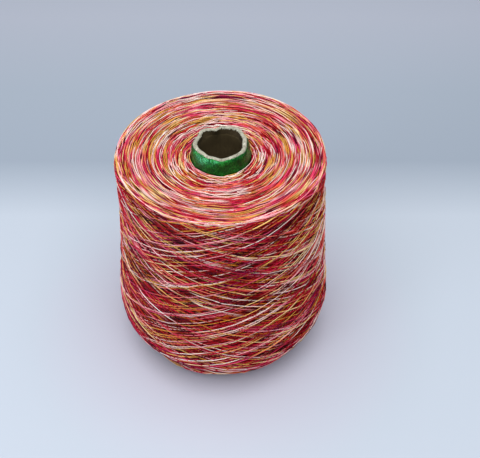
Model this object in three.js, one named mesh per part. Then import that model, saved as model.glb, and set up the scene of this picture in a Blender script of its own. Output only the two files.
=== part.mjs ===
// A cone of yarn: one package of cross-wound yarn on a tapered paperboard tube whose nose is turned in,
// with a thin green ply that shows round the nose. Millimetres, +Z up.
// The origin is the centre of the tube's base, on the surface that it stands on.
import * as THREE from 'three';

const { degToRad, radToDeg, euclideanModulo, lerp, smoothstep } = THREE.MathUtils;

// Paperboard tube
const TUBE_LENGTH = 170;
const TUBE_HALF_ANGLE = degToRad(4 + 20 / 60);
const NOSE_RADIUS = 17.9;
const TUBE_WALL = 2;
const HEM_WALL = 1.75; // the board that is turned in at the nose, which doubles the wall there
const HEM_DEPTH = 8;
const HEM_FLARE = 0.4; // the hem's lower edge springs back towards the wall
const RIM_ROUND = 0.8;
const BASE_CHAMFER = 0.5;
const TUBE_STEPS = 60;

// Green ply round the nose
const PLY_THICKNESS = 0.5;
const PLY_FOOT = 155.2;
const PLY_TOP = 168.8;
const PLY_RAGGED = 0.5;
const PLY_ROWS = 4;

// Wound package
const PACKAGE_FOOT = 11;
const PACKAGE_TOP = 162.1;
const SHOULDER_RADIUS = 68.8;
const SHOULDER_ROUND = 4;
const FOOT_RADIUS = 68.9;
const FOOT_ROUND = 4;
const TOP_DISH = 3.4; // how far the top face falls from the shoulder to the tube
const UNDERSIDE_BULGE = 1.6;
const PACKAGE_STEPS = 96;
const FLANK_STEPS = 28;
const TOP_STEPS = 6;
const UNDERSIDE_STEPS = 4;

// How uneven the winding is
const CROSSING_ANGLE = degToRad(17); // slope of the wound yarn on the flank
const CROSSING_COUNT = 6; // broad bands of yarn that climb each way round the package
const CROSSING_RELIEF = 0.3;
const SWAYS = [
  { lobes: 2, height: 37, size: 0.25 },
  { lobes: 3, height: -23, size: 0.2 },
];
const TOP_WAVE = { lobes: 3, width: 6, size: 0.25 };

const GAP = 0.3; // between neighbouring pieces

// The flank between its two rounded edges: drawn in at the foot, fullest low down, waisted under the shoulder
const FLANK = [
  { z: 18.3, r: 70.1 },
  { z: 27.2, r: 74.5 },
  { z: 39.0, r: 76.8 },
  { z: 56.8, r: 75.1 },
  { z: 79.0, r: 72.7 },
  { z: 104.1, r: 70.7 },
  { z: 127.8, r: 69.5 },
  { z: 145.6, r: 68.8 },
  { z: 157.7, r: 68.8 },
];

// Dents (-) and swellings (+) of the turned-in rim at even spaces round the nose, each a bell this wide
const PUCKERS = [
  -0.5, 0.3, -0.1, 1.2, 1.3, 0, 0.6, -1.6, 0.8, 2, -0.1, 0.4, 0.8, 0.3, -0.2, -0.6, 0.3, -0.2, 1.3, 0.9, 0.4, 0.7,
  0.8, -0.1,
];
const PUCKER_HALF = 11; // degrees
const PUCKER_DEPTH = 9; // the dents fade out over this height below the rim
const RIM_TILT = 0.6; // the rim is pressed a little askew: it falls to twice this away from its highest place
const RIM_HIGH_AT = degToRad(15);

const FULL_TURN = 2 * Math.PI;

function tubeRadius(z) {
  return NOSE_RADIUS + (TUBE_LENGTH - z) * Math.tan(TUBE_HALF_ANGLE);
}

// A point so far outside (+) or inside (-) the tube's outer face
function onTube(z, outward = 0) {
  return { r: tubeRadius(z) + outward, z };
}

// Moves a point of the nose to its place on the puckered and tilted rim, at an angle in radians
function pressed({ r, z }, angle) {
  const fade = smoothstep(z, TUBE_LENGTH - PUCKER_DEPTH, TUBE_LENGTH);
  let shift = 0;
  PUCKERS.forEach((size, i) => {
    const away = euclideanModulo(radToDeg(angle) - (360 * i) / PUCKERS.length + 180, 360) - 180;
    shift += size * Math.exp(-((away / PUCKER_HALF) ** 2));
  });
  const fall = RIM_TILT * (1 - Math.cos(angle - RIM_HIGH_AT));
  return { r: r + shift * fade, z: z - fall * fade };
}

// Points of a round from one angle (degrees) to another, in radius and height
function arc(middle, radius, from, to, strides) {
  const points = [];
  for (let i = 0; i <= strides; i += 1) {
    const a = degToRad(lerp(from, to, i / strides));
    points.push({ r: middle.r + radius * Math.cos(a), z: middle.z + radius * Math.sin(a) });
  }
  return points;
}

// Points from one place to another, both left out, in so many equal strides
function between(a, b, strides) {
  const points = [];
  for (let i = 1; i < strides; i += 1) {
    const t = i / strides;
    points.push({ r: lerp(a.r, b.r, t), z: lerp(a.z, b.z, t) });
  }
  return points;
}

// Carries a closed profile, listed anticlockwise in radius and height, once round the axis.
// The shape function moves each point to its true radius and height at that angle.
function ring(profile, steps, shape) {
  const count = profile.length;
  const positions = [];
  const indices = [];
  for (let s = 0; s < steps; s += 1) {
    const angle = (FULL_TURN * s) / steps;
    for (const point of profile) {
      const { r, z } = shape(point, angle);
      positions.push(r * Math.cos(angle), r * Math.sin(angle), z);
    }
    const here = s * count;
    const next = ((s + 1) % steps) * count;
    for (let i = 0; i < count; i += 1) {
      const j = (i + 1) % count;
      indices.push(here + i, next + i, next + j, here + i, next + j, here + j);
    }
  }
  const geometry = new THREE.BufferGeometry();
  geometry.setAttribute('position', new THREE.Float32BufferAttribute(positions, 3));
  geometry.setIndex(indices);
  geometry.computeVertexNormals();
  return geometry;
}

function paperTube() {
  const rimTop = TUBE_LENGTH - RIM_ROUND;
  const rimInner = NOSE_RADIUS - TUBE_WALL - HEM_WALL;
  const hemFoot = TUBE_LENGTH - HEM_DEPTH;
  const seatFoot = onTube(PLY_FOOT, -GAP);
  const seatTop = onTube(PLY_TOP, -GAP);
  const wallTop = onTube(hemFoot - HEM_FLARE, -TUBE_WALL);
  const wallFoot = onTube(0, -TUBE_WALL);
  const profile = [
    onTube(0, -BASE_CHAMFER),
    onTube(BASE_CHAMFER),
    ...between(onTube(BASE_CHAMFER), onTube(PLY_FOOT - GAP), 4),
    onTube(PLY_FOOT - GAP),
    seatFoot,
    ...between(seatFoot, seatTop, PLY_ROWS),
    seatTop,
    onTube(rimTop, -GAP),
    ...arc({ r: NOSE_RADIUS - RIM_ROUND, z: rimTop }, RIM_ROUND, 0, 90, 3),
    ...arc({ r: rimInner + RIM_ROUND, z: rimTop }, RIM_ROUND, 90, 180, 3),
    { r: rimInner + HEM_FLARE / 4, z: (rimTop + hemFoot) / 2 },
    { r: rimInner + HEM_FLARE, z: hemFoot },
    wallTop,
    ...between(wallTop, wallFoot, 3),
    wallFoot,
  ];
  return ring(profile, TUBE_STEPS, pressed);
}

function greenPly() {
  const outer = { foot: onTube(PLY_FOOT, PLY_THICKNESS), top: onTube(PLY_TOP, PLY_THICKNESS) };
  const inner = { foot: onTube(PLY_FOOT), top: onTube(PLY_TOP) };
  const profile = [
    outer.foot,
    ...between(outer.foot, outer.top, PLY_ROWS),
    outer.top,
    inner.top,
    ...between(inner.top, inner.foot, PLY_ROWS),
    inner.foot,
  ];
  const shape = (point, angle) => {
    const torn = (PLY_RAGGED * (Math.sin(5 * angle) + Math.sin(13 * angle) - 2)) / 2;
    const z = point.z === PLY_TOP ? PLY_TOP + torn : point.z;
    return pressed({ r: point.r, z }, angle);
  };
  return ring(profile, TUBE_STEPS, shape);
}

function yarnPackage() {
  const flankCurve = new THREE.SplineCurve(FLANK.map(({ z, r }) => new THREE.Vector2(r, z)));
  const flank = flankCurve.getSpacedPoints(FLANK_STEPS).map((p) => ({ r: p.x, z: p.y }));
  const footMiddle = { r: FOOT_RADIUS - FOOT_ROUND, z: PACKAGE_FOOT + FOOT_ROUND };
  const foot = arc(footMiddle, FOOT_ROUND, 270, 335, 3);
  const shoulderMiddle = { r: SHOULDER_RADIUS - SHOULDER_ROUND, z: PACKAGE_TOP - SHOULDER_ROUND };
  const shoulder = arc(shoulderMiddle, SHOULDER_ROUND, 22, 90, 3);
  const collar = PLY_THICKNESS + GAP; // the bore's clearance round the green ply
  const collarTop = { r: tubeRadius(PLY_FOOT) + collar, z: PACKAGE_TOP - TOP_DISH };
  const collarFoot = { r: collarTop.r, z: PLY_FOOT - GAP };
  const boreTop = onTube(collarFoot.z, GAP);
  const boreFoot = onTube(PACKAGE_FOOT, GAP);
  const underside = between(boreFoot, foot[0], UNDERSIDE_STEPS).map(({ r, z }, i) => ({
    r,
    z: z - UNDERSIDE_BULGE * Math.sin((Math.PI * (i + 1)) / UNDERSIDE_STEPS),
  }));
  const profile = [
    ...foot,
    ...flank,
    ...shoulder,
    ...between(shoulder.at(-1), collarTop, TOP_STEPS),
    collarTop,
    collarFoot,
    boreTop,
    ...between(boreTop, boreFoot, 2),
    boreFoot,
    ...underside,
  ];
  const climb = CROSSING_COUNT / (SHOULDER_RADIUS * Math.tan(CROSSING_ANGLE));
  const shape = ({ r, z }, angle) => {
    // The wound surface is uneven, and the bore stays round
    const depth = smoothstep(r, boreFoot.r, shoulderMiddle.r);
    const onTop = smoothstep(z, collarTop.z, PACKAGE_TOP);
    const climbing = Math.sin(CROSSING_COUNT * angle - climb * z);
    const falling = Math.sin(CROSSING_COUNT * angle + climb * z);
    let out = CROSSING_RELIEF * Math.max(climbing, falling) * (1 - onTop);
    for (const { lobes, height, size } of SWAYS) out += size * Math.sin(lobes * angle + z / height);
    const up = TOP_WAVE.size * Math.sin(TOP_WAVE.lobes * angle + r / TOP_WAVE.width) * onTop;
    return { r: r + depth * out, z: z + depth * up };
  };
  return ring(profile, PACKAGE_STEPS, shape);
}

function piece(name, geometry, color, roughness) {
  const mesh = new THREE.Mesh(geometry, new THREE.MeshStandardMaterial({ color, roughness, metalness: 0 }));
  mesh.name = name;
  return mesh;
}

const coneOfYarn = new THREE.Group();
coneOfYarn.name = 'cone_of_yarn';
coneOfYarn.add(piece('paper_tube', paperTube(), 0xb9ad9c, 0.85));
coneOfYarn.add(piece('green_ply', greenPly(), 0x0f6a2e, 0.4));
coneOfYarn.add(piece('yarn_package', yarnPackage(), 0xc84a5a, 0.7));

export default coneOfYarn;
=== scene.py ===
"""A cone of yarn: one space-dyed yarn cross-wound on a tapered paper tube whose nose is turned in.

Sizes are in millimetres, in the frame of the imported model, until a mesh is made in metres.
"""

import bpy
import numpy as np
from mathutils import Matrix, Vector


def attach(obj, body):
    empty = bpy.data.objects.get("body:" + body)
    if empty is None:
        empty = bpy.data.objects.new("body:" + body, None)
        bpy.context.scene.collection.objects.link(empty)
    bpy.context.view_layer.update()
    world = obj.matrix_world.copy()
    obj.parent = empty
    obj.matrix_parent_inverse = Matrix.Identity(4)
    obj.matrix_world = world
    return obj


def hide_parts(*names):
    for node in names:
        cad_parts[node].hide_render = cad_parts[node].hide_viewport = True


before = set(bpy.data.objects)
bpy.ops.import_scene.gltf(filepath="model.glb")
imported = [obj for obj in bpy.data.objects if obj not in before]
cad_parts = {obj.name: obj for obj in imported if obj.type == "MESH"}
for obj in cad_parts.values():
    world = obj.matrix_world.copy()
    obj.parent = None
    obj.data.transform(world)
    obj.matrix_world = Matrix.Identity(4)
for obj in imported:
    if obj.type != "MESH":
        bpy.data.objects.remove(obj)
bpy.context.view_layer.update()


# Paper tube.
# A tapered tube of wound paperboard, pale outside and dark brown in its bore. The nose is turned in
# and pressed, which doubles the wall there and leaves a puckered rim of torn fibres.
TUBE_LENGTH = 170.0
NOSE_RADIUS = 17.9
TUBE_SLOPE = np.tan(np.radians(4 + 20 / 60))
TUBE_WALL = 2.0
HEM_WALL = 1.75
HEM_DEPTH = 8.0
HEM_FLARE = 0.4
HEM_THINS_FROM = 2.0  # above the hem's foot
HEM_FADE = 5.0  # the turned-in board is feathered, and runs out into the wall over this height
RIM_ROUND = 1.0
RIM_ROUND_INSIDE = 1.2
CROWN_FROM = 161.5  # pressing the rim has bent the wall in above here
CROWN_IN = 1.15
CROWN_ROWS = 9
BASE_CHAMFER = 0.5
NOSE_FROM = 154.0  # the rows of the mesh lie close together above here
NOSE_SPACING = 0.6
ROUND_SPACING = 0.3
ROUND_STRIDES = 7
BODY_SPACING = 8.0
TUBE_ANGLES = np.linspace(0, 2 * np.pi, 360, endpoint=False)
PUCKERS = np.array([  # dents (-) and swellings (+) at even spaces round the rim, each a bell
    -0.5, 0.3, -0.1, 1.2, 1.3, 0, 0.6, -1.6, 0.8, 2, -0.1, 0.4,
    0.8, 0.3, -0.2, -0.6, 0.3, -0.2, 1.3, 0.9, 0.4, 0.7, 0.8, -0.1,
])
PUCKER_HALF = 11.0  # degrees
PUCKER_DEPTH = 9.0
RIM_TILT = 0.6
RIM_HIGH_AT = np.radians(15)
TORN_FROM, TORN_TO = 6.0, 1.0  # the pressed board gets rougher from the first to the second depth
CREASE_DEPTH = 0.08
CREASES = {"counts": (14, 40), "lengths": (14, 40), "seed": 3}
FIBRE_DEPTH = 0.07
FIBRES = {"counts": (50, 150), "lengths": (1.2, 4), "seed": 4}
BROWN_FROM = 0.9  # the dark lining shows this far below the rim
BROWN_RAGGED = 0.35
BROWN_EDGE = {"counts": (3, 70), "lengths": (50, 60), "seed": 5}
BROWN_BLUR = 0.2
METRE = 0.001


def tube_radius(z):
    """Outer radius of the tube: the nose's, growing by the slope towards the base."""
    return NOSE_RADIUS + (TUBE_LENGTH - z) * TUBE_SLOPE


def smooth_step(x, low, high):
    """0 below low and 1 above high, and between them 3t^2 - 2t^3 of the share t of the way."""
    t = np.clip((x - low) / (high - low), 0, 1)
    return t * t * (3 - 2 * t)


def pressed(r, z, angles):
    """The nose pressed out of true. The radius gains a sum of bell curves round the rim, the height
    loses the tilt times 1 - cos of the angle from the highest place, and both fade with depth."""
    at = np.arange(len(PUCKERS))[:, None] * 360 / len(PUCKERS)
    away = (np.degrees(angles) - at + 180) % 360 - 180
    bells = (PUCKERS[:, None] * np.exp(-((away / PUCKER_HALF) ** 2))).sum(0)
    fade = smooth_step(z, TUBE_LENGTH - PUCKER_DEPTH, TUBE_LENGTH)
    return r + bells * fade, z - RIM_TILT * (1 - np.cos(angles - RIM_HIGH_AT)) * fade


def arc(middle, radius, start, end, strides):
    """Points (r, z) of a round about a middle, from one angle in degrees to another."""
    a = np.radians(np.linspace(start, end, strides + 1))
    return np.array(middle) + radius * np.stack([np.cos(a), np.sin(a)], axis=1)


def distance_along(points):
    """How far each point (r, z) lies along its line: the sum of the lengths before it."""
    return np.concatenate([[0], np.cumsum(np.hypot(*np.diff(points, axis=0).T))])


def at_distance(distance, points):
    """The line's radius and height at distances along it, straight between its points."""
    along = distance_along(points)
    return [np.interp(distance, along, column) for column in np.transpose(points)]


def evenly(points, spacing):
    """The same line through points (r, z), with further points so that none lie wider apart."""
    along = distance_along(points)
    return np.stack(at_distance(np.union1d(along, np.arange(0, along[-1], spacing)), points), axis=1)


def ripple(angles, along, counts, lengths, seed, waves=60, peak=1.5):
    """Fine unevenness, about -1 to 1: the sum of many cosines, each with its own count of waves round
    the axis and its own wave length along the wall, over so many times its usual size."""
    rng = np.random.default_rng(seed)
    count = rng.integers(*counts, waves)[:, None, None]
    turn = 2 * np.pi / rng.uniform(*lengths, waves)[:, None, None] * rng.choice([-1, 1], (waves, 1, 1))
    start = rng.uniform(0, 2 * np.pi, (waves, 1, 1))
    return np.cos(count * angles + turn * along[None] + start).sum(0) / np.sqrt(waves / 2) / peak


def ring_points(radius, z, angles):
    """Points on circles round the axis: x = radius cos a, y = radius sin a, for rows by angles."""
    radius, z = np.broadcast_arrays(radius, z)
    return np.stack([radius * np.cos(angles), radius * np.sin(angles), z], axis=-1)


def ring_quads(rows, steps):
    """Faces of a closed profile, listed anticlockwise in (r, z), carried once round the axis."""
    row, step = np.mgrid[0:rows, 0:steps]
    after, beside = (row + 1) % rows * steps, (step + 1) % steps
    return np.stack([row * steps + step, row * steps + beside, after + beside, after + step],
                    axis=-1).reshape(-1, 4)


def new_piece(name, points, faces, material):
    """A smooth mesh object from points in millimetres, which rides on the cone."""
    mesh = bpy.data.meshes.new(name)
    mesh.from_pydata((points.reshape(-1, 3) * METRE).tolist(), [], faces.tolist())
    mesh.polygons.foreach_set("use_smooth", np.ones(len(mesh.polygons), bool))
    mesh.materials.append(material)
    mesh.update()
    piece = bpy.data.objects.new(name, mesh)
    bpy.context.scene.collection.objects.link(piece)
    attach(piece, "root")
    return piece


def point_values(piece, name, values):
    """Keeps one number a point on the mesh, for its material to read."""
    layer = piece.data.attributes.new(name, "FLOAT", "POINT")
    layer.data.foreach_set("value", values.astype(np.float32).ravel())


def finish(name, roughness, specular=0.5, metallic=0.0, refraction=1.5, tint=(1, 1, 1)):
    """A material with one Principled shader, its constants on the shader's own sockets."""
    material = bpy.data.materials.new(name)
    material.use_nodes = True
    tree = material.node_tree
    shader = tree.nodes["Principled BSDF"]
    values = {"Roughness": roughness, "Specular IOR Level": specular, "Metallic": metallic,
              "IOR": refraction, "Specular Tint": (*tint, 1)}
    for socket, value in values.items():
        shader.inputs[socket].default_value = value
    return material, tree, shader


def add_node(tree, kind, inputs=(), **settings):
    """A node with its settings, and its inputs set to a value or linked to a socket."""
    node = tree.nodes.new(kind)
    for name, value in settings.items():
        setattr(node, name, value)
    for key, value in dict(inputs).items():
        if isinstance(value, bpy.types.NodeSocket):
            tree.links.new(value, node.inputs[key])
        else:
            node.inputs[key].default_value = value
    return node


def colour_ramp(tree, factor, stops):
    """Colours between stops of (place, (r, g, b)) in linear light, read by a factor."""
    ramp = add_node(tree, "ShaderNodeValToRGB", {"Fac": factor})
    elements = ramp.color_ramp.elements
    elements.remove(elements[0])
    for number, (place, colour) in enumerate(stops):
        stop = elements[0] if number == 0 else elements.new(place)
        stop.position = place
        stop.color = (*colour, 1)
    return ramp.outputs["Color"]


def speckle(tree, scale, detail=4.0, roughness=0.6, stretch=(1, 1, 1)):
    """Cloudy noise from 0 to 1 on the piece's own coordinates, so many cells a metre."""
    place = add_node(tree, "ShaderNodeTexCoord").outputs["Object"]
    spread = add_node(tree, "ShaderNodeMapping", {"Vector": place, "Scale": stretch})
    return add_node(tree, "ShaderNodeTexNoise", {
        "Vector": spread.outputs["Vector"], "Scale": scale, "Detail": detail, "Roughness": roughness,
    }).outputs["Fac"]


def blend(tree, share, first, second):
    """One number mixed from two: the first, and this share of the second."""
    return add_node(tree, "ShaderNodeMix", {0: share, 2: first, 3: second}).outputs[0]


def bumped(tree, shader, height, distance):
    """Gives the shader relief so many metres deep from a height of 0 to 1."""
    bump = add_node(tree, "ShaderNodeBump", {"Height": height, "Distance": distance})
    tree.links.new(bump.outputs["Normal"], shader.inputs["Normal"])


crown_tilt = TUBE_SLOPE + 2 * CROWN_IN / (TUBE_LENGTH - CROWN_FROM)
lean = np.arctan(crown_tilt)
rim_top = TUBE_LENGTH - RIM_ROUND * (1 - np.sin(lean))
crown_z = np.linspace(CROWN_FROM, rim_top, CROWN_ROWS)
crown_r = tube_radius(crown_z) - CROWN_IN * ((crown_z - CROWN_FROM) / (rim_top - CROWN_FROM)) ** 2
crown = np.stack([crown_r, crown_z], axis=1)
rim_middle = (crown_r[-1] - RIM_ROUND * np.cos(lean), TUBE_LENGTH - RIM_ROUND)
rim_inner = NOSE_RADIUS - TUBE_WALL - HEM_WALL
hem_foot = TUBE_LENGTH - HEM_DEPTH
nose_foot = (tube_radius(NOSE_FROM), NOSE_FROM)
lip_middle = (rim_inner + RIM_ROUND_INSIDE, TUBE_LENGTH - RIM_ROUND_INSIDE)
hem_line = np.array([(rim_inner, lip_middle[1]), (rim_inner + HEM_FLARE, hem_foot + HEM_THINS_FROM)])
nose_profile = np.vstack([
    evenly(np.vstack([nose_foot, crown]), NOSE_SPACING),
    evenly(arc(rim_middle, RIM_ROUND, np.degrees(lean), 90, ROUND_STRIDES)[1:], ROUND_SPACING),
    evenly(arc(lip_middle, RIM_ROUND_INSIDE, 90, 180, ROUND_STRIDES), ROUND_SPACING),
    evenly(hem_line, NOSE_SPACING)[1:],
])
wall_top = hem_foot - HEM_FADE
wall_line = np.array([(tube_radius(wall_top) - TUBE_WALL, wall_top), (tube_radius(0) - TUBE_WALL, 0)])
outer_line = np.array([(tube_radius(BASE_CHAMFER), BASE_CHAMFER), nose_foot])
tube_profile = np.vstack([
    nose_profile,
    evenly(wall_line, BODY_SPACING),
    [(tube_radius(0) - BASE_CHAMFER, 0)],
    evenly(outer_line, BODY_SPACING)[:-1],
])
tube_r, tube_z = tube_profile.T[:, :, None]
tube_along = distance_along(tube_profile)[:, None]
torn = smooth_step(tube_z, TUBE_LENGTH - TORN_FROM, TUBE_LENGTH - TORN_TO)
creases = ripple(TUBE_ANGLES, tube_along, **CREASES) * CREASE_DEPTH * torn
fibres = ripple(TUBE_ANGLES, tube_along, **FIBRES) * FIBRE_DEPTH * torn
nose_r, nose_z = pressed(tube_r, tube_z, TUBE_ANGLES)
tube_points = ring_points(
    nose_r + creases + fibres * (tube_z < rim_top),
    nose_z + (creases - np.abs(fibres)) * (tube_z > rim_top), TUBE_ANGLES)

board, tree, shader = finish("board", roughness=0.9, specular=0.12)
specks = blend(tree, 0.4, speckle(tree, 1100, roughness=0.8), speckle(tree, 260))
pale = colour_ramp(tree, specks, [
    (0.32, (0.11, 0.09, 0.07)), (0.44, (0.27, 0.26, 0.20)), (0.54, (0.40, 0.39, 0.31)),
    (0.66, (0.60, 0.59, 0.50))])
lining = add_node(tree, "ShaderNodeAttribute", attribute_name="lining").outputs["Fac"]
depth = add_node(tree, "ShaderNodeAttribute", attribute_name="depth").outputs["Fac"]
# the lining's browns: a mottle, plus painted light: darker on the turned-in hem, which the light reaches,
# and lighter down the wall below it, which the nose shades
mottle_and_painted_light = add_node(tree, "ShaderNodeMath", {0: speckle(tree, 160, detail=3), 1: 0.5, 2: depth},
                   operation="MULTIPLY_ADD").outputs[0]
brown = colour_ramp(tree, mottle_and_painted_light, [
    (0.15, (0.028, 0.019, 0.009)), (0.45, (0.05, 0.036, 0.017)), (0.9, (0.055, 0.040, 0.019)),
    (1, (0.105, 0.078, 0.038))])
mixed = add_node(tree, "ShaderNodeMix", {0: lining, 6: pale, 7: brown}, data_type="RGBA")
tree.links.new(mixed.outputs[2], shader.inputs["Base Color"])
bumped(tree, shader, speckle(tree, 1500, detail=5, roughness=0.7), 0.00025)

tube_faces = ring_quads(len(tube_profile), len(TUBE_ANGLES))
tube_board = new_piece("tube_board", tube_points, tube_faces, board)
below_rim = TUBE_LENGTH - tube_z
inside = (tube_along > tube_along[len(nose_profile) // 2]) & (tube_r < tube_radius(tube_z) - TUBE_WALL / 2)
edge = BROWN_FROM + BROWN_RAGGED * ripple(TUBE_ANGLES, tube_along * 0, **BROWN_EDGE)
point_values(tube_board, "lining", inside * smooth_step(below_rim, edge - BROWN_BLUR, edge + BROWN_BLUR))
# depth drives the lining's painted light, lighter further below the rim
point_values(tube_board, "depth", inside * (below_rim / HEM_DEPTH).clip(0, 1) + 0 * TUBE_ANGLES)
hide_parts("paper_tube")


# Green ply round the nose.
# A strip of glossy green paper glued round the tube before the nose was turned in, with a fine grain
# that sparkles. Its upper edge is torn and shows below the rim, and its foot is under the yarn.
PLY_THICKNESS = 0.5
PLY_FOOT = 155.2
PLY_OVER = (-0.5, 0.7)  # how far it goes over the rim's round, at the back and at the front
PLY_RAGGED = 0.12
PLY_TEAR = 0.45
PLY_EDGE = {"counts": (30, 150), "lengths": (50, 60), "seed": 6}
PLY_THINS_FROM = 0.85  # share of the way up to the torn edge
PLY_THINS_BY = 0.7
PLY_GRIP = 0.1  # how far its inner face lies in the board
CRUMPLE_DEPTH = 0.05
CRUMPLES = {"counts": (10, 60), "lengths": (3, 12), "seed": 7}
PLY_ANGLES = np.linspace(0, 2 * np.pi, 480, endpoint=False)
PLY_ROWS = 20
PLY_CROWDING = 0.8  # a power that sets the rows closer together towards the edge
PLY_ROUND_STRIDES = 12
PLY_SPACING = 0.1


def outward(points):
    """Unit normals (r, z) of a line, on its right as it runs."""
    along = np.gradient(points, axis=0)
    along = along / np.hypot(*along.T)[:, None]
    return np.stack([along[:, 1], -along[:, 0]], axis=1)


ply_round = arc(rim_middle, RIM_ROUND, np.degrees(lean), 90, PLY_ROUND_STRIDES)[1:]
ply_line = evenly(np.vstack([(tube_radius(PLY_FOOT), PLY_FOOT), crown, ply_round]), PLY_SPACING)
share = np.linspace(0, 1, PLY_ROWS)[:, None] ** PLY_CROWDING
tear = PLY_RAGGED * (np.sin(5 * PLY_ANGLES) + np.sin(13 * PLY_ANGLES) - 2)
tear = tear - PLY_TEAR * np.abs(ripple(PLY_ANGLES, share[:1] * 0, **PLY_EDGE))
over = np.interp(-np.sin(PLY_ANGLES), (-1, 1), PLY_OVER)
reached = share * (rim_top - PLY_FOOT + over + tear)
ply_r, ply_z = at_distance(reached, ply_line)
ply_along = distance_along(ply_line)
lean_r, lean_z = (np.interp(reached, ply_along, values) for values in outward(ply_line).T)
crumple = CRUMPLE_DEPTH * ripple(PLY_ANGLES, reached, **CRUMPLES)
proud = PLY_THICKNESS * (1 - PLY_THINS_BY * smooth_step(share, PLY_THINS_FROM, 1)) + crumple
outer_r, outer_z = pressed(ply_r + proud * lean_r, ply_z + proud * lean_z, PLY_ANGLES)
inner_r, inner_z = pressed(ply_r - PLY_GRIP * lean_r, ply_z - PLY_GRIP * lean_z, PLY_ANGLES)
wrap_r, wrap_z = np.vstack([outer_r, inner_r[::-1]]), np.vstack([outer_z, inner_z[::-1]])

coloured_ply, tree, shader = finish(
    "coloured_ply", roughness=0.36, specular=0.5, metallic=0.1, refraction=1.8, tint=(0.12, 1, 0.35))
grain = speckle(tree, 1300, detail=3, roughness=0.9)
green = colour_ramp(tree, blend(tree, 0.35, grain, speckle(tree, 240, detail=3)), [
    (0.40, (0.001, 0.005, 0.001)), (0.46, (0.002, 0.018, 0.001)), (0.53, (0.006, 0.066, 0.001)),
    (0.60, (0.03, 0.30, 0.04))])
tree.links.new(green, shader.inputs["Base Color"])
bumped(tree, shader, grain, 0.00014)

green_wrap = new_piece("green_wrap", ring_points(wrap_r, wrap_z, PLY_ANGLES),
                       ring_quads(len(wrap_r), len(PLY_ANGLES)), coloured_ply)
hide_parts("green_ply")


# Inner windings.
# The yarn that lies too deep to be seen strand by strand: one closed body a few millimetres inside the
# package's outline. It stands for real yarn, but its dark reds, darker than any of the yarn's dyes, are
# painted shade between the strands that cover it.
PACKAGE_FOOT = 11.0
PACKAGE_TOP = 162.1
SHOULDER_RADIUS = 68.8
SHOULDER_ROUND = 4.0
FOOT_RADIUS = 68.9
FOOT_ROUND = 4.0
FOOT_MEETS, SHOULDER_MEETS = 335, 22  # where the flank meets the two rounds, in degrees on them
TOP_DISH = 3.4
UNDERSIDE_BULGE = 1.6
GAP = 0.3
FLANK = np.array([  # radius and height: drawn in at the foot, fullest low down, waisted at the top
    (70.1, 18.3), (74.5, 27.2), (76.8, 39.0), (75.1, 56.8), (72.7, 79.0), (70.7, 104.1), (69.5, 127.8),
    (68.8, 145.6), (68.8, 157.7),
])
FLANK_STRIDES = 160
EDGE_STRIDES = 8
UNDER_POINTS = 24
SWAYS = ((2, 37.0, 0.25), (3, -23.0, 0.2))  # lobes round the axis, height in which they turn, size
INNER_DEPTH = 2.8
INNER_SPACING = 3.0
TOO_NEAR = 0.5  # points nearer to the one before are left out
INNER_ANGLES = np.linspace(0, 2 * np.pi, 180, endpoint=False)


def curve_through(points, strides):
    """A smooth curve through points: the uniform Catmull-Rom cubic between each two."""
    ends = np.vstack([points[:1], points, points[-1:]])
    t = np.linspace(0, len(points) - 1, strides + 1)
    i = np.minimum(t.astype(int), len(points) - 2)
    w = (t - i)[:, None]
    before, start, end, after = (ends[i + k] for k in range(4))
    leave, arrive = (end - before) / 2, (after - start) / 2
    return ((2 * start - 2 * end + leave + arrive) * w ** 3
            + (3 * end - 3 * start - 2 * leave - arrive) * w ** 2 + leave * w + start)


def sway(angles, r, z):
    """How far the wound form is out of round: two slow waves, which fade towards the bore."""
    waves = sum(size * np.sin(lobes * angles + z / height) for lobes, height, size in SWAYS)
    return waves * smooth_step(r, tube_radius(PACKAGE_FOOT), SHOULDER_RADIUS - SHOULDER_ROUND)


collar = (tube_radius(PLY_FOOT) + PLY_THICKNESS + GAP, PACKAGE_TOP - TOP_DISH)
bore_foot = (tube_radius(PACKAGE_FOOT) + GAP, PACKAGE_FOOT)
foot_middle = (FOOT_RADIUS - FOOT_ROUND, PACKAGE_FOOT + FOOT_ROUND)
foot_round = arc(foot_middle, FOOT_ROUND, 270, FOOT_MEETS, EDGE_STRIDES)
shoulder_middle = (SHOULDER_RADIUS - SHOULDER_ROUND, PACKAGE_TOP - SHOULDER_ROUND)
shoulder_round = arc(shoulder_middle, SHOULDER_ROUND, SHOULDER_MEETS, 90, EDGE_STRIDES)
flank_line = np.vstack([foot_round, curve_through(FLANK, FLANK_STRIDES), shoulder_round])
way = np.linspace(0, 1, UNDER_POINTS)[:, None]
under_line = np.array(bore_foot) + way * (foot_round[0] - np.array(bore_foot))
under_line[:, 1:] -= UNDERSIDE_BULGE * np.sin(np.pi * way)
outline = evenly(np.vstack([under_line[:-1], flank_line, collar]), INNER_SPACING)
outline = outline[np.concatenate([[True], np.hypot(*np.diff(outline, axis=0).T) > TOO_NEAR])]
sunk = outline - INNER_DEPTH * outward(outline)
sunk = sunk[sunk[:, 0] > tube_radius(sunk[:, 1]) + GAP]
inner_profile = np.vstack([
    sunk,
    [(tube_radius(sunk[-1, 1]) + GAP + PLY_THICKNESS, sunk[-1, 1]), (collar[0], PLY_FOOT - GAP)],
    [(tube_radius(PLY_FOOT - GAP) + GAP, PLY_FOOT - GAP), (tube_radius(sunk[0, 1]) + GAP, sunk[0, 1])],
])
inner_r, inner_z = inner_profile.T[:, :, None]
inner_points = ring_points(inner_r + sway(INNER_ANGLES, inner_r, inner_z), inner_z, INNER_ANGLES)

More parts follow.
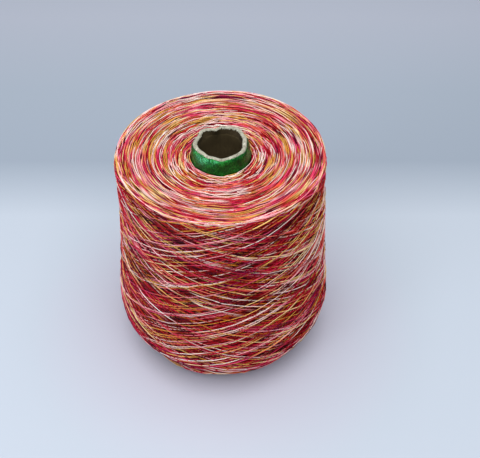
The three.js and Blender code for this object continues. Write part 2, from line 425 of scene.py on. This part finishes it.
deep_yarn, tree, shader = finish("deep_yarn", roughness=0.8, specular=0.2)
streaks = speckle(tree, 60, detail=5, roughness=0.7, stretch=(0.4, 0.4, 16))
# painted shade: the deep yarn is coloured only in dark reds
painted_shade_reds = colour_ramp(tree, streaks, [
    (0.3, (0.04, 0.001, 0.006)), (0.45, (0.10, 0.002, 0.010)), (0.58, (0.18, 0.005, 0.018)),
    (0.7, (0.28, 0.02, 0.02))])
tree.links.new(painted_shade_reds, shader.inputs["Base Color"])
bumped(tree, shader, streaks, 0.0006)
inner_windings = new_piece("inner_windings", inner_points,
                           ring_quads(len(inner_profile), len(INNER_ANGLES)), deep_yarn)


# Windings of the flank.
# One continuous yarn of two plies, 0.6 mm thick, laid taut in strokes of a little over a turn from end
# to end and back, each over what lies there already, so that neighbouring strokes run side by side and
# cross the ones that go the other way.
YARN_HALF = 0.30
YARN_FLATTENING = 0.9  # its thickness as a share of its width
TWIST = 1.7  # from one ridge of the twisted plies to the next, along the yarn
STROKES = 1040
STROKE_DEGREES = 386
STROKE_SPREAD = 14
STROKE_TRIES = 6
REVERSAL = 0.996  # nearer to 1 makes the strokes turn back more sharply
TURNING = (0, 3.5)  # how far before the end of the package a stroke turns back
SHORT = 0.12  # share of the strokes that turn back earlier still
SHORT_BY = (4, 22)
SHOULDER_OVER = 4  # rows that the strokes run on over the shoulder
BOW = 5  # rows by which a stroke bows away from its swing
PHASE = (0, 6)  # radians, a full turn or nearly so
ROW = 0.2  # height of a row of the relief, whose columns are a degree wide
REACH = np.arange(-3, 4)  # rows under a yarn
SINK = 0.11  # how far a yarn is pressed into those below
PULLS = 30  # more of them pull a yarn straight over a longer way
FORM_BEND = 0.04  # how far the round form falls away from a straight yarn in a degree
PILE_AT = 92  # percentile of the relief that is taken as the wound surface
PILE_ROWS = 41
LIFT = 0.1  # how far the wound surface stands out from the package's outline
HIGHEST = -0.1  # where the middle line of the highest yarns is kept, from that outline
MERIDIAN_FROM = -4  # the point of the underside's line where the rows begin, counted from the foot
MERIDIAN_PAST = 6  # how far the rows run on over the top face
MERIDIAN_FALL = 0.5  # how far they fall on it
RING_EVERY = 6  # degrees between the rings of the yarn's mesh
FLANK_PIECES = 4
SIDES = 4
SEED = 11
DYE_SEED = 8

# The dyes of the yarn: colour in linear light, share of the length on the faces and on the flank, and
# length of a run of one colour. The flank's shares lean to the dark dyes, which is painted shade on the
# flank.
DYES = {
    "cream": ((0.95, 0.72, 0.67), (0.13, 0.09), (18, 60)),
    "butter": ((0.92, 0.66, 0.35), (0.10, 0.06), (12, 40)),
    "gold": ((0.76, 0.42, 0.11), (0.15, 0.10), (12, 40)),
    "blush": ((0.90, 0.38, 0.42), (0.13, 0.08), (12, 40)),
    "rose": ((0.72, 0.066, 0.16), (0.15, 0.13), (12, 40)),
    "coral": ((0.80, 0.18, 0.12), (0.11, 0.06), (12, 40)),
    "crimson": ((0.50, 0.009, 0.036), (0.14, 0.26), (12, 40)),
    "plum": ((0.24, 0.005, 0.060), (0.06, 0.14), (10, 30)),
    "maroon": ((0.13, 0.002, 0.012), (0.03, 0.10), (10, 30)),
}
PAINTED_DEPTH_SHADE = (0.3, 1.0)  # painted shade: how much a strand's dye darkens a millimetre down in the pile, on the faces and on the flank
PAINTED_SHADE_DEPTHS = (0, 2)  # millimetres
FACE_RUNS = 0.48  # a run of one dye is this much as long on the faces, where the yarn is bent tight
RUNS_SPREAD = 0.09  # how much the brightness of a dye varies from run to run
RUNS_WITHIN = (0.75, 1.25)
BRIGHTEST = 0.95
SHARED_FLANK = 0.4  # share of the strokes that lie beside others with their dyes in step
SHARED_DEGREES = 3
SHARED_SHIFT = 3  # millimetres by which yarns in step still differ
NEXT_PLACE = 977  # millimetres of dyed yarn from one such place to the next
NEXT_WAY = 200  # places between strokes in step that go up and those that go down


def dye_runs(length, rng, flank=False):
    """Where each run of one dye ends along so many millimetres of yarn, and its colour."""
    colours, shares, runs = (np.array(column, float) for column in zip(*DYES.values()))
    # the flank's own shares, heavier in the dark dyes, are painted shade
    shares = shares[:, int(flank)]
    count = int(length / runs.mean() * 2) + 10
    pick = rng.choice(len(DYES), count, p=shares / shares.sum())
    ends = np.cumsum(rng.uniform(*runs[pick].T))
    brightness = rng.normal(1, RUNS_SPREAD, (count, 1)).clip(*RUNS_WITHIN)
    return ends, (colours[pick] * brightness).clip(0, BRIGHTEST)


def dye_and_painted_shade(along, runs, depth, painted_shade_strength):
    """The yarn's colour at places along it: its dye to the power 1 + painted_shade_strength depth. This is
    painted shade: strands that lie deeper are darker and more saturated, as light that passes between more
    strands is dyed more often."""
    ends, colours = runs
    dye = colours[np.searchsorted(ends, along % ends[-2])]
    return dye ** (1 + painted_shade_strength * depth.clip(*PAINTED_SHADE_DEPTHS)[..., None])


def lay(relief, column, row, bend, pulls):
    """Height of a yarn laid over what is wound already. It rests on a circle rolled over the relief, is
    pulled straight from one high point to the next, less the bend of the form, and adds to the relief."""
    arch = np.sqrt(YARN_HALF ** 2 - (REACH * ROW).clip(-YARN_HALF, YARN_HALF) ** 2)
    columns = (column % relief.shape[0])[:, None]
    rows = (np.rint(row).astype(int)[:, None] + REACH).clip(0, relief.shape[1] - 1)
    support = (relief[columns, rows] + arch).max(1) - SINK
    height = support.copy()
    for _ in range(pulls):
        height[1:-1] = np.maximum(support[1:-1], (height[:-2] + height[2:]) / 2 - bend)
    np.maximum.at(relief, (columns, rows), height[:, None] + arch * YARN_FLATTENING)
    return height


def pile_height(relief, percentile, rows):
    """Height of the wound surface at each row: a percentile round the axis, its mean over some rows."""
    pile = np.percentile(relief, percentile, axis=0)
    return np.convolve(np.pad(pile, rows // 2, mode="edge"), np.ones(rows) / rows, mode="valid")


def corner_map(piece, name, places):
    """Keeps a UV map on the piece: one place for each corner of its faces, in their order."""
    layer = piece.data.uv_layers.new(name=name)
    layer.data.foreach_set("uv", places.astype(np.float32).ravel())


def yarn_tubes(name, centres, across, out, colours):
    """Tubes of yarn. Each runs through its centres (yarns by rings by 3) with a section of SIDES
    points: centre + half (across cos a + flattening out sin a). The map "strand" holds the millimetres
    along the yarn, less whole twists, and the share of the way round it. The map "OFBake" lays the
    stretches between rings in rows like lines of text, each as SIDES strips and a spare one, and a
    yarn's two ends in the place after its last stretch."""
    yarns, rings = centres.shape[:2]
    a = np.arange(SIDES)[:, None] * 2 * np.pi / SIDES
    section = np.cos(a) * across[:, :, None] + YARN_FLATTENING * np.sin(a) * out[:, :, None]
    points = centres[:, :, None] + YARN_HALF * section
    yarn, ring, side = np.mgrid[0:yarns, 0:rings - 1, 0:SIDES]
    corner = (yarn * rings + ring) * SIDES
    beside = (side + 1) % SIDES
    walls = np.stack([corner + side, corner + SIDES + side, corner + SIDES + beside, corner + beside],
                     axis=-1).reshape(-1, 4)
    first = np.arange(yarns)[:, None] * rings * SIDES
    caps = np.vstack([first + np.arange(SIDES), first + (rings - 1) * SIDES + np.arange(SIDES)[::-1]])
    piece = new_piece(name, points, np.vstack([walls, caps]), yarn_finish)
    # the colour attribute holds each strand's dye together with its painted shade by depth
    layer = piece.data.color_attributes.new("dye", "FLOAT_COLOR", "POINT")
    shade = np.ones((yarns, rings, SIDES, 4), np.float32)
    shade[..., :3] = colours[:, :, None]
    layer.data.foreach_set("color", shade.ravel())

    length = np.linalg.norm(np.diff(centres, axis=1), axis=2)[:, :, None, None]
    ahead, aside = np.array([0, 1, 1, 0]), np.array([0, 0, 1, 1])
    begun = (np.cumsum(length, axis=1) - length) % TWIST
    round_it = (side[..., None] + aside) / SIDES
    strand = np.stack(np.broadcast_arrays(begun + length * ahead, round_it), axis=-1).reshape(-1, 2)
    corner_map(piece, "strand", np.concatenate([strand, np.zeros((2 * yarns * SIDES, 2))]))

    per_row = int(np.ceil(np.sqrt(yarns * rings * (SIDES + 1))))
    strips = -(-yarns * rings // per_row) * (SIDES + 1)
    spare = np.tile(np.arange(yarns) * rings + rings - 1, 2)
    stretch = np.concatenate([(yarn * rings + ring).ravel(), spare])
    strip = np.concatenate([side.ravel(), np.repeat([0, 2], yarns)])
    across_row = (stretch[:, None] % per_row + ahead) / per_row
    down = (stretch[:, None] // per_row * (SIDES + 1) + strip[:, None] + aside) / strips
    corner_map(piece, "OFBake", np.stack([across_row, down], axis=-1))
    return piece


yarn_finish, tree, shader = finish("dyed_yarn", roughness=0.6, specular=0.1)
# the attribute holds the dyes with the painted shade by depth
dye = add_node(tree, "ShaderNodeVertexColor", layer_name="dye").outputs["Color"]
tree.links.new(dye, shader.inputs["Base Color"])
strand = add_node(tree, "ShaderNodeUVMap", uv_map="strand").outputs["UV"]
turned = add_node(tree, "ShaderNodeVectorMath", {0: strand, 1: (2 * np.pi / TWIST, 4 * np.pi, 0)},
                  operation="DOT_PRODUCT").outputs["Value"]
ridges = add_node(tree, "ShaderNodeMath", {0: turned}, operation="SINE").outputs[0]
bumped(tree, shader, ridges, 0.00006)

below_foot = under_line[MERIDIAN_FROM]
past_shoulder = shoulder_round[-1] + [-MERIDIAN_PAST, -MERIDIAN_FALL]
meridian = evenly(np.vstack([below_foot, flank_line, past_shoulder]), ROW)
meridian = np.stack(at_distance(np.arange(0, distance_along(meridian)[-1], ROW), meridian), axis=1)
meridian_out = outward(meridian)
foot_row = np.hypot(*(foot_round[0] - below_foot)) / ROW
shoulder_row = len(meridian) - MERIDIAN_PAST / ROW


def stroke_tries(start, number, rng):
    """A few possible strokes from where the last one ended, each as columns (degrees round the cone)
    and rows: across the flank by an arcsine swing, which turns quickly at both ends, plus a slow bow."""
    for _ in range(STROKE_TRIES):
        degrees = int(rng.normal(STROKE_DEGREES, STROKE_SPREAD))
        turning = (rng.uniform(*TURNING) + (rng.random() < SHORT) * rng.uniform(*SHORT_BY)) / ROW
        target = foot_row + turning if number % 2 else shoulder_row + SHOULDER_OVER - turning
        share = np.arange(1, degrees + 1) / degrees
        swing = 0.5 - np.arcsin(REVERSAL * np.cos(np.pi * share)) / (2 * np.arcsin(REVERSAL))
        bow = rng.normal(0, BOW) * np.sin(np.pi * share) * np.sin(2 * np.pi * share + rng.uniform(*PHASE))
        yield start[0] + np.arange(1, degrees + 1), start[1] + swing * (target - start[1]) + bow


rng = np.random.default_rng(SEED)
relief = np.zeros((360, len(meridian)))
start = (0, foot_row)
strokes = []
for number in range(STROKES):
    tries = list(stroke_tries(start, number, rng))
    levels = [relief[c % 360, np.rint(r).astype(int)].mean() for c, r in tries]
    column, row = tries[int(np.argmin(levels))]
    height = lay(relief, column, row, FORM_BEND, PULLS)
    strokes.append((column, row, height, np.full(len(row), number)))
    start = (column[-1], row[-1])
column, row, height, stroke = (np.concatenate(parts) for parts in zip(*strokes))
pile = pile_height(relief, PILE_AT, PILE_ROWS)

rings = np.arange(0, len(column), RING_EVERY)
rows = np.arange(len(meridian))
at = row[rings].clip(0, len(meridian) - 1.001)
angle = np.radians(column[rings])
r, z = (np.interp(at, rows, values) for values in meridian.T)
out_r, out_z = (np.interp(at, rows, values) for values in meridian_out.T)
rise = (height[rings] - np.interp(at, rows, pile) + LIFT).clip(None, HIGHEST)
r, z = r + sway(angle, r, z) + rise * out_r, z + rise * out_z
path = ring_points(r, z, angle)
out = ring_points(out_r, out_z, angle)
run = np.gradient(path, axis=0)
across = np.cross(out, run)
across /= np.linalg.norm(across, axis=1)[:, None]
travelled = np.concatenate([[0], np.cumsum(np.linalg.norm(np.diff(path, axis=0), axis=1))])
begins = np.searchsorted(stroke[rings], np.arange(STROKES))
place = np.rint(column[rings][begins] % 360 / SHARED_DEGREES) + np.arange(STROKES) % 2 * NEXT_WAY
rng = np.random.default_rng(DYE_SEED)
in_step = rng.random(STROKES) < SHARED_FLANK
shared = place * NEXT_PLACE + rng.normal(0, SHARED_SHIFT, STROKES)
shift = np.where(in_step, shared - travelled[begins], 0)
runs = dye_runs(travelled[-1], rng, flank=True)
# the flank's strands get the stronger painted shade with depth
colours = dye_and_painted_shade(travelled + shift[stroke[rings]], runs, -rise - YARN_HALF, PAINTED_DEPTH_SHADE[1])
flank_cuts = np.linspace(0, len(rings) - 1, FLANK_PIECES + 1).astype(int)
flank_yarns = [
    yarn_tubes(f"flank_yarn_{number}", *(part[None, a:b + 1] for part in (path, across, out, colours)))
    for number, (a, b) in enumerate(zip(flank_cuts[:-1], flank_cuts[1:]), start=1)
]


# Windings of the top face and the underside.
# Where the strokes turn back at the ends of the package, their short arcs lie close together all over
# both faces, almost square to the radius, and sink between their neighbours at each end.
TOP_YARNS = 1900
TOP_SEED = 21
TOP_CLEAR = (0.4, 1.6)  # how far the arcs keep from the face's inner and outer radius
TOP_DIVE, TOP_LIFT = 1.6, -0.1  # how far the arcs' ends dive and how high their middles stand
TOP_WAVE = (3, 6.0, 0.25)  # lobes round the axis, radius in which they turn, size
UNDER_YARNS = 500
UNDER_SEED = 31
UNDER_CLEAR = (0.8, 2.5)
UNDER_DIVE, UNDER_LIFT = 1.2, -0.2
ARC_DRIFT = 1.1
ARC_WAVE = 0.35
ARC_WAVE_TURN = 3  # radians of the wave in half an arc
ARC_HALF_SPAN = (20, 45)  # degrees
ARC_TRIES = 6
DIVE_POWER = 5  # a higher one keeps more of the arc level before its ends dive
FACE_HIGHEST = -0.25
FACE_RINGS = 13
FACE_STRIDES = 4  # fine steps between two rings of the mesh
FACE_COLUMN = 2  # degrees between the columns of the relief
FACE_REACH = 72  # radius where the relief ends
FACE_BEND = 0.3
FACE_PULLS = 4
FACE_PILE_AT = 88
FACE_PILE_ROWS = 31
FACE_DYED = 60000  # millimetres of dyed yarn that the arcs are cut from
FACE_CUTS = (0, 50000)  # where on it an arc begins that isn't in step with others
SHARED_FACE = 0.58  # share of the arcs whose dyes are in step with their neighbours
SHARED_BAND = 2.4


def face_arcs(count, low, high, t, rng):
    """Angles and radii of arcs (arcs by fine steps): each spans 40 to 90 degrees about its own place, at
    a radius that drifts in or out as a straight line plus a slow wave."""
    radius = rng.uniform(low, high, (count, 1)) + rng.normal(0, ARC_DRIFT, (count, 1)) * t
    wave = rng.normal(0, ARC_WAVE, (count, 1)) * np.sin(ARC_WAVE_TURN * t + rng.uniform(*PHASE, (count, 1)))
    radius = radius + wave
    middle = rng.uniform(0, 2 * np.pi, (count, 1))
    half_span = np.radians(rng.uniform(*ARC_HALF_SPAN, (count, 1)))
    return middle + half_span * t, radius.clip(low, high)


def lay_arcs(count, low, high, t, rng):
    """Angles, radii and heights over the face of its arcs. Each is laid in the lowest of a few places,
    on the arcs before it."""
    relief = np.zeros((360 // FACE_COLUMN, int(FACE_REACH / ROW)))
    angles, radii, heights = (np.empty((count, len(t))) for _ in range(3))
    for number in range(count):
        a, radius = face_arcs(ARC_TRIES, low, high, t, rng)
        columns = np.rint(np.degrees(a) / FACE_COLUMN).astype(int)
        rows = np.rint(radius / ROW).astype(int)
        best = relief[columns % relief.shape[0], rows].mean(1).argmin()
        angles[number], radii[number] = a[best], radius[best]
        heights[number] = lay(relief, columns[best], radii[number] / ROW, FACE_BEND, FACE_PULLS)
    pile = pile_height(relief, FACE_PILE_AT, FACE_PILE_ROWS)
    return angles, radii, heights - np.interp(radii / ROW, np.arange(len(pile)), pile)


def face_yarn(name, count, low, high, face_z, up, seed, dive, lift):
    """The arcs of one face as tubes, their ends diving under; up is 1 for the top and -1 below."""
    rng = np.random.default_rng(seed)
    t = np.linspace(-1, 1, FACE_STRIDES * (FACE_RINGS - 1) + 1)
    angles, radii, over = lay_arcs(count, low, high, t, rng)
    band = np.rint(radii.mean(1, keepdims=True) / SHARED_BAND)
    in_step = rng.random((count, 1)) < SHARED_FACE
    over = (over - dive * np.abs(t) ** DIVE_POWER + lift)[:, ::FACE_STRIDES].clip(None, FACE_HIGHEST)
    angles, radii = angles[:, ::FACE_STRIDES], radii[:, ::FACE_STRIDES]
    z = face_z(radii, angles) + up * over
    path = ring_points(radii + sway(angles, radii, z), z, angles)
    run = np.gradient(path, axis=1)
    out = np.zeros_like(path)
    out[..., 2] = up
    across = np.cross(out, run)
    across /= np.linalg.norm(across, axis=2)[..., None]
    steps = np.linalg.norm(np.diff(path, axis=1), axis=2)
    travelled = np.concatenate([np.zeros((count, 1)), np.cumsum(steps, axis=1)], axis=1)
    runs = dye_runs(FACE_DYED, rng)
    own = travelled + rng.uniform(*FACE_CUTS, (count, 1))
    round_band = (angles % (2 * np.pi)) * band * SHARED_BAND
    shared = round_band + band * NEXT_PLACE + rng.normal(0, SHARED_SHIFT, (count, 1))
    # the faces' arcs get the weaker painted shade with depth
    colours = dye_and_painted_shade(np.where(in_step, shared, own) / FACE_RUNS, runs, -over - YARN_HALF, PAINTED_DEPTH_SHADE[0])
    return yarn_tubes(name, path, across, out, colours)


def top_z(r, angles):
    """Height of the top face: a straight fall from the shoulder to the tube, with a slow wave."""
    lobes, length, size = TOP_WAVE
    level = np.interp(r, [collar[0], shoulder_round[-1][0]], [collar[1], PACKAGE_TOP])
    return level + size * np.sin(lobes * angles + r / length)


def under_z(r, angles):
    """Height of the underside, which bulges down between the bore and the foot."""
    return np.interp(r, under_line[:, 0], under_line[:, 1])


top_yarn = face_yarn("top_yarn", TOP_YARNS, collar[0] + TOP_CLEAR[0], SHOULDER_RADIUS - TOP_CLEAR[1],
                     top_z, 1, TOP_SEED, TOP_DIVE, TOP_LIFT)
under_yarn = face_yarn("underside_yarn", UNDER_YARNS, bore_foot[0] + UNDER_CLEAR[0],
                       FOOT_RADIUS - UNDER_CLEAR[1], under_z, -1, UNDER_SEED, UNDER_DIVE, UNDER_LIFT)
for piece in (inner_windings, top_yarn, under_yarn, *flank_yarns):
    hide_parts("yarn_package")


# Floor, light and camera.
# A pale bluish paper floor that darkens softly behind the cone, with painted bounce light close round the
# cone, a broad soft light overhead, a weaker one from the left, and a camera that looks down at the cone
# from the front. All in metres.
FLOOR_HALF = 12.0
corners = FLOOR_HALF * np.array([(-1, -1, 0), (1, -1, 0), (1, 1, 0), (-1, 1, 0)])
floor_mesh = bpy.data.meshes.new("floor")
floor_mesh.from_pydata(corners.tolist(), [], [(0, 1, 2, 3)])
floor = bpy.data.objects.new("floor", floor_mesh)
bpy.context.scene.collection.objects.link(floor)
paper, tree, shader = finish("floor_paper", roughness=0.75, specular=0.2)
place = add_node(tree, "ShaderNodeTexCoord").outputs["Object"]
depth = add_node(tree, "ShaderNodeSeparateXYZ", {"Vector": place}).outputs["Y"]
back = add_node(tree, "ShaderNodeMapRange", {"Value": depth, "From Min": 0.11, "From Max": 0.49}).outputs[0]
tones = colour_ramp(tree, back, [
    (0, (0.465, 0.52, 0.595)), (0.20, (0.30, 0.35, 0.42)), (0.5, (0.33, 0.38, 0.45)),
    (0.9, (0.40, 0.43, 0.505))])
away = add_node(tree, "ShaderNodeVectorMath", {0: place}, operation="LENGTH").outputs["Value"]
# painted bounce light: within 0.15 m of the axis the floor turns lighter and warmer, lightening the shade
# round the cone's foot
near = add_node(tree, "ShaderNodeMapRange", {"Value": away, "From Min": 0.15, "From Max": 0.08}).outputs[0]
painted_bounce = add_node(tree, "ShaderNodeMix", {0: near, 6: tones, 7: (0.51, 0.515, 0.605, 1)}, data_type="RGBA")
tree.links.new(painted_bounce.outputs[2], shader.inputs["Base Color"])
floor_mesh.materials.append(paper)


def soft_light(name, at, towards, size, watts, colour):
    """A square area light that faces a point."""
    lamp = bpy.data.lights.new(name, "AREA")
    lamp.size, lamp.energy, lamp.color = size, watts, colour
    light = bpy.data.objects.new(name, lamp)
    bpy.context.scene.collection.objects.link(light)
    light.location = at
    light.rotation_euler = (Vector(towards) - Vector(at)).to_track_quat("-Z", "Y").to_euler()
    return light


soft_light("overhead", (-0.04, -0.25, 1.20), (0, 0, 0.1), 1.3, 18.1, (1.0, 0.98, 0.96))
soft_light("left_window", (-0.73, -0.61, 0.21), (0, 0, 0.16), 0.26, 2.6, (0.82, 0.92, 1.0))
gleam = soft_light("gleam", (-0.88, -0.36, 0.24), (0, 0, 0.16), 0.30, 10, (0.9, 0.64, 1.0))
gleam.visible_diffuse = False  # it shows only as a reflection in the green ply
world = bpy.data.worlds.new("studio")
world.use_nodes = True
world.node_tree.nodes["Background"].inputs["Color"].default_value = (0.84, 0.89, 0.96, 1)
world.node_tree.nodes["Background"].inputs["Strength"].default_value = 0.55
bpy.context.scene.world = world
bpy.context.scene.view_settings.view_transform = "Standard"

PICTURE = (480, 458)
FOCAL_PIXELS = 783.0
LOOK_DOWN = np.radians(44.6)
camera = bpy.data.objects.new("camera", bpy.data.cameras.new("camera"))
bpy.context.scene.collection.objects.link(camera)
camera.data.sensor_width = 36.0
camera.data.lens = FOCAL_PIXELS / PICTURE[0] * camera.data.sensor_width
camera.location = (0.0122, -0.3923, 0.4787)
camera.rotation_euler = (np.pi / 2 - LOOK_DOWN, 0, 0)
bpy.context.scene.camera = camera
